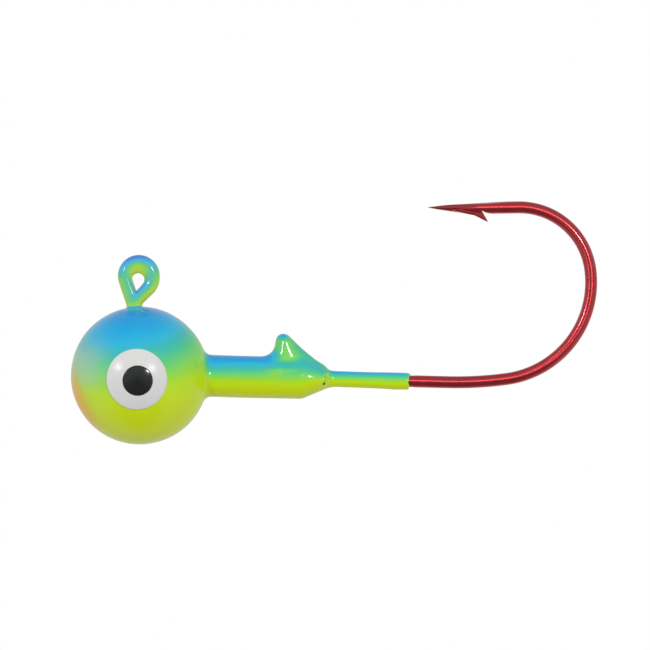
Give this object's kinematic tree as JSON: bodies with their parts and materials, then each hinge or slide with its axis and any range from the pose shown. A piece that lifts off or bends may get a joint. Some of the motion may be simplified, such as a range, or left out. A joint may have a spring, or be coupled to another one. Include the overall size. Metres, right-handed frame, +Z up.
{
  "type": "ball jig head",
  "caption": "Round painted jig head on a 90-degree single hook, with a line-tie ring, bait collar, keeper spike and painted eyes.",
  "frame": {"origin": "centre of the round hole in the painted line-tie ring", "axes": "+X runs along the hook's shank from the ball toward the bend, +Z is up from the shank to the hook's point, +Y is along the line-tie hole's axis; the lure's nose is at -X, so its left side is at -Y"},
  "size_m": [0.0396, 0.0106, 0.019],
  "materials": {
    "red_steel": "polished",
    "lead": "satin",
    "base_coat": "satin",
    "colour_coat": "gloss",
    "eye_white": "gloss",
    "pupil_black": "gloss"
  },
  "bodies": {
    "root": {"hook": "red_steel", "lead_body": "lead", "base_coat_head": "base_coat", "base_coat_line_tie": "base_coat", "base_coat_shank": "base_coat", "colour_coat_head": "colour_coat", "colour_coat_line_tie": "colour_coat", "colour_coat_shank": "colour_coat", "eye_white_left": "eye_white", "eye_white_right": "eye_white", "pupil_left": "pupil_black", "pupil_right": "pupil_black"}
  },
  "joints": []
}
